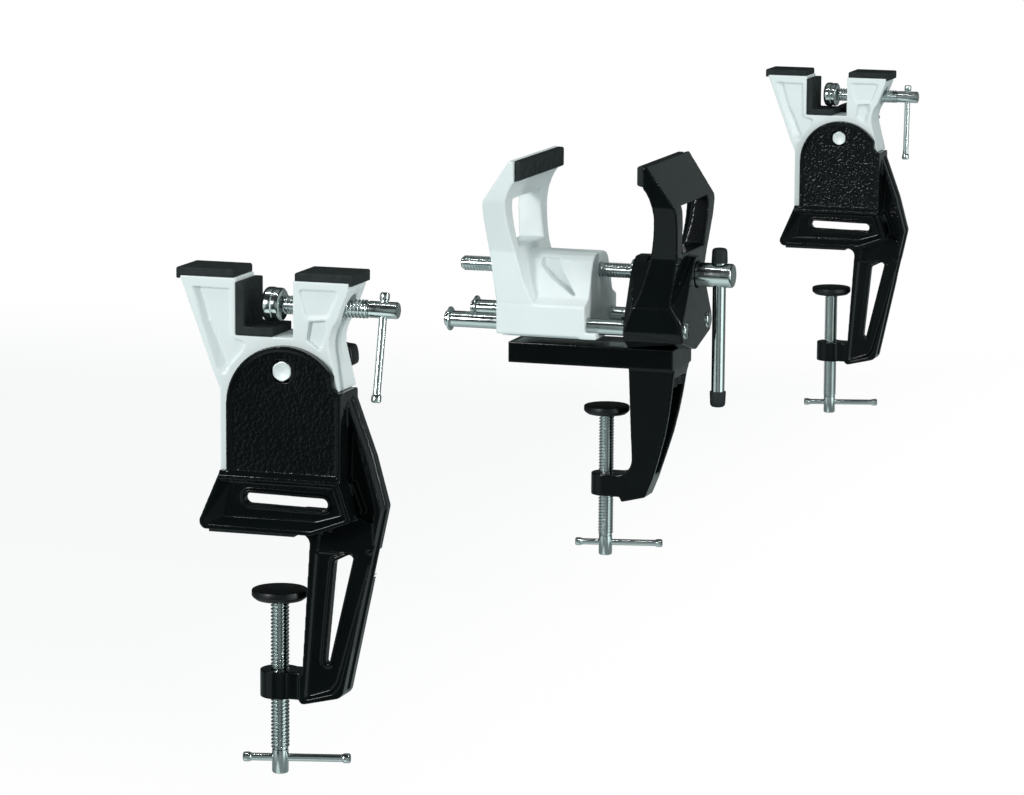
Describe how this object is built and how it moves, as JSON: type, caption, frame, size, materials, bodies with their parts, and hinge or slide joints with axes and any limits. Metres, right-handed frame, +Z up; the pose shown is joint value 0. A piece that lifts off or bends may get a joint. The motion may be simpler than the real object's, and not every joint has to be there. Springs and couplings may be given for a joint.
{
  "type": "ski tuning vise set",
  "caption": "Bench-clamped ski tuning vise: a wide-jawed centre vise between rubber-topped end supports, each with its own clamp screw and tommy bar.",
  "frame": {"origin": "centre vise's seat on the bench top, on the axis of its clamp screw", "axes": "+X along the bench edge from the near to the far end support, +Y into the bench, +Z up"},
  "size_m": [1.2869, 0.1902, 0.2752],
  "materials": {
    "black_paint": "glossy hammered enamel on cast aluminium",
    "white_paint": "satin light grey-white enamel on cast aluminium",
    "zinc": "bright zinc plating",
    "rubber": "matte dark rubber",
    "black_plastic": "black moulded plastic"
  },
  "bodies": {
    "centre_frame": {"centre_base": "black_paint", "centre_front_jaw": "black_paint", "centre_front_rubber": "rubber", "centre_jaw_bolts": "zinc", "centre_guide_rods": "zinc", "centre_rod_rings": "zinc", "centre_thrust_washer": "zinc", "centre_screw_collar": "zinc"},
    "centre_rear_jaw": {"centre_rear_jaw": "white_paint", "centre_rear_rubber": "rubber"},
    "centre_main_screw": {"centre_main_screw": "zinc"},
    "centre_main_bar": {"centre_main_bar": "zinc", "centre_bar_caps": "rubber"},
    "centre_clamp_pad": {"centre_clamp_pad": "black_plastic"},
    "centre_clamp_screw": {"centre_clamp_screw": "zinc"},
    "centre_clamp_bar": {"centre_clamp_bar": "zinc"},
    "near_frame": {"near_frame": "black_paint", "near_bench_pad": "rubber", "near_head_bolt": "zinc", "near_knob_washer": "zinc"},
    "near_head": {"near_head": "white_paint", "near_jaw_liner": "rubber", "near_rest_block_front": "rubber", "near_rest_block_rear": "rubber"},
    "near_star_knob": {"near_star_knob": "black_plastic"},
    "near_jaw_pad": {"near_jaw_pad": "zinc"},
    "near_jaw_screw": {"near_jaw_screw": "zinc"},
    "near_jaw_bar": {"near_jaw_bar": "zinc"},
    "near_clamp_pad": {"near_clamp_pad": "black_plastic"},
    "near_clamp_screw": {"near_clamp_screw": "zinc"},
    "near_clamp_bar": {"near_clamp_bar": "zinc"},
    "far_frame": {"far_frame": "black_paint", "far_bench_pad": "rubber", "far_head_bolt": "zinc", "far_knob_washer": "zinc"},
    "far_head": {"far_head": "white_paint", "far_jaw_liner": "rubber", "far_rest_block_front": "rubber", "far_rest_block_rear": "rubber"},
    "far_star_knob": {"far_star_knob": "black_plastic"},
    "far_jaw_pad": {"far_jaw_pad": "zinc"},
    "far_jaw_screw": {"far_jaw_screw": "zinc"},
    "far_jaw_bar": {"far_jaw_bar": "zinc"},
    "far_clamp_pad": {"far_clamp_pad": "black_plastic"},
    "far_clamp_screw": {"far_clamp_screw": "zinc"},
    "far_clamp_bar": {"far_clamp_bar": "zinc"}
  },
  "joints": [
    {"name": "centre_jaw_slide", "type": "slide", "parent": "centre_frame", "child": "centre_rear_jaw", "axis": [0, 1, 0], "range_m": [-0.01699, 0.02999]},
    {"name": "centre_main_spin", "type": "hinge", "parent": "centre_frame", "child": "centre_main_screw", "pos_m": [0, -0.0764, 0.062], "axis": [0, 1, 0], "range_deg": [-5400, 3060]},
    {"name": "centre_main_bar_slide", "type": "slide", "parent": "centre_main_screw", "child": "centre_main_bar", "axis": [0, 0, 1], "range_m": [0, 0.0685]},
    {"name": "centre_clamp_slide", "type": "slide", "parent": "centre_frame", "child": "centre_clamp_pad", "axis": [0, 0, 1], "range_m": [-0.03199, 0.02599]},
    {"name": "centre_clamp_spin", "type": "hinge", "parent": "centre_clamp_pad", "child": "centre_clamp_screw", "pos_m": [0, 0, -0.1219], "axis": [0, 0, 1], "range_deg": [-5760, 4680]},
    {"name": "centre_clamp_bar_slide", "type": "slide", "parent": "centre_clamp_screw", "child": "centre_clamp_bar", "axis": [0.225, -0.9744, 0], "range_m": [-0.0289, 0.011]},
    {"name": "near_bench_slide", "type": "slide", "parent": "centre_frame", "child": "near_frame", "axis": [1, 0, 0], "range_m": [-0.2, 0.4]},
    {"name": "near_head_lift", "type": "slide", "parent": "near_frame", "child": "near_head", "axis": [0, 0, 1], "range_m": [0, 0.025]},
    {"name": "near_knob_turn", "type": "hinge", "parent": "near_frame", "child": "near_star_knob", "pos_m": [-0.583, -0.0085, 0.0892], "axis": [1, 0, 0], "range_deg": [0, 360]},
    {"name": "near_jaw_slide", "type": "slide", "parent": "near_head", "child": "near_jaw_pad", "axis": [0, 1, 0], "range_m": [-0.01019, 0.00559]},
    {"name": "near_jaw_spin", "type": "hinge", "parent": "near_jaw_pad", "child": "near_jaw_screw", "pos_m": [-0.608, -0.05885, 0.122], "axis": [0, 1, 0], "range_deg": [-1836, 1008]},
    {"name": "near_jaw_bar_slide", "type": "slide", "parent": "near_jaw_screw", "child": "near_jaw_bar", "axis": [0.2419, 0, 0.9703], "range_m": [0, 0.0398]},
    {"name": "near_clamp_slide", "type": "slide", "parent": "near_frame", "child": "near_clamp_pad", "axis": [0, 0, 1], "range_m": [-0.03199, 0.02799]},
    {"name": "near_clamp_spin", "type": "hinge", "parent": "near_clamp_pad", "child": "near_clamp_screw", "pos_m": [-0.608, 0, -0.1252], "axis": [0, 0, 1], "range_deg": [-5760, 5040]},
    {"name": "near_clamp_bar_slide", "type": "slide", "parent": "near_clamp_screw", "child": "near_clamp_bar", "axis": [0.2588, -0.9659, 0], "range_m": [-0.0289, 0.011]},
    {"name": "far_bench_slide", "type": "slide", "parent": "centre_frame", "child": "far_frame", "axis": [1, 0, 0], "range_m": [-0.4, 0.2]},
    {"name": "far_head_lift", "type": "slide", "parent": "far_frame", "child": "far_head", "axis": [0, 0, 1], "range_m": [0, 0.025]},
    {"name": "far_knob_turn", "type": "hinge", "parent": "far_frame", "child": "far_star_knob", "pos_m": [0.647, -0.0085, 0.0892], "axis": [1, 0, 0], "range_deg": [0, 360]},
    {"name": "far_jaw_slide", "type": "slide", "parent": "far_head", "child": "far_jaw_pad", "axis": [0, 1, 0], "range_m": [-0.01019, 0.00559]},
    {"name": "far_jaw_spin", "type": "hinge", "parent": "far_jaw_pad", "child": "far_jaw_screw", "pos_m": [0.622, -0.05885, 0.122], "axis": [0, 1, 0], "range_deg": [-1836, 1008]},
    {"name": "far_jaw_bar_slide", "type": "slide", "parent": "far_jaw_screw", "child": "far_jaw_bar", "axis": [0.0698, 0, 0.9976], "range_m": [0, 0.0398]},
    {"name": "far_clamp_slide", "type": "slide", "parent": "far_frame", "child": "far_clamp_pad", "axis": [0, 0, 1], "range_m": [-0.03199, 0.02799]},
    {"name": "far_clamp_spin", "type": "hinge", "parent": "far_clamp_pad", "child": "far_clamp_screw", "pos_m": [0.622, 0, -0.1252], "axis": [0, 0, 1], "range_deg": [-5760, 5040]},
    {"name": "far_clamp_bar_slide", "type": "slide", "parent": "far_clamp_screw", "child": "far_clamp_bar", "axis": [0.2756, -0.9613, 0], "range_m": [-0.0289, 0.011]}
  ],
  "couplings": [
    {"joint": "centre_main_spin", "follows": "centre_jaw_slide", "rad_per_m": -3141.6},
    {"joint": "centre_clamp_spin", "follows": "centre_clamp_slide", "rad_per_m": 3141.6},
    {"joint": "near_jaw_spin", "follows": "near_jaw_slide", "rad_per_m": 3141.6},
    {"joint": "near_clamp_spin", "follows": "near_clamp_slide", "rad_per_m": 3141.6},
    {"joint": "far_jaw_spin", "follows": "far_jaw_slide", "rad_per_m": 3141.6},
    {"joint": "far_clamp_spin", "follows": "far_clamp_slide", "rad_per_m": 3141.6}
  ]
}
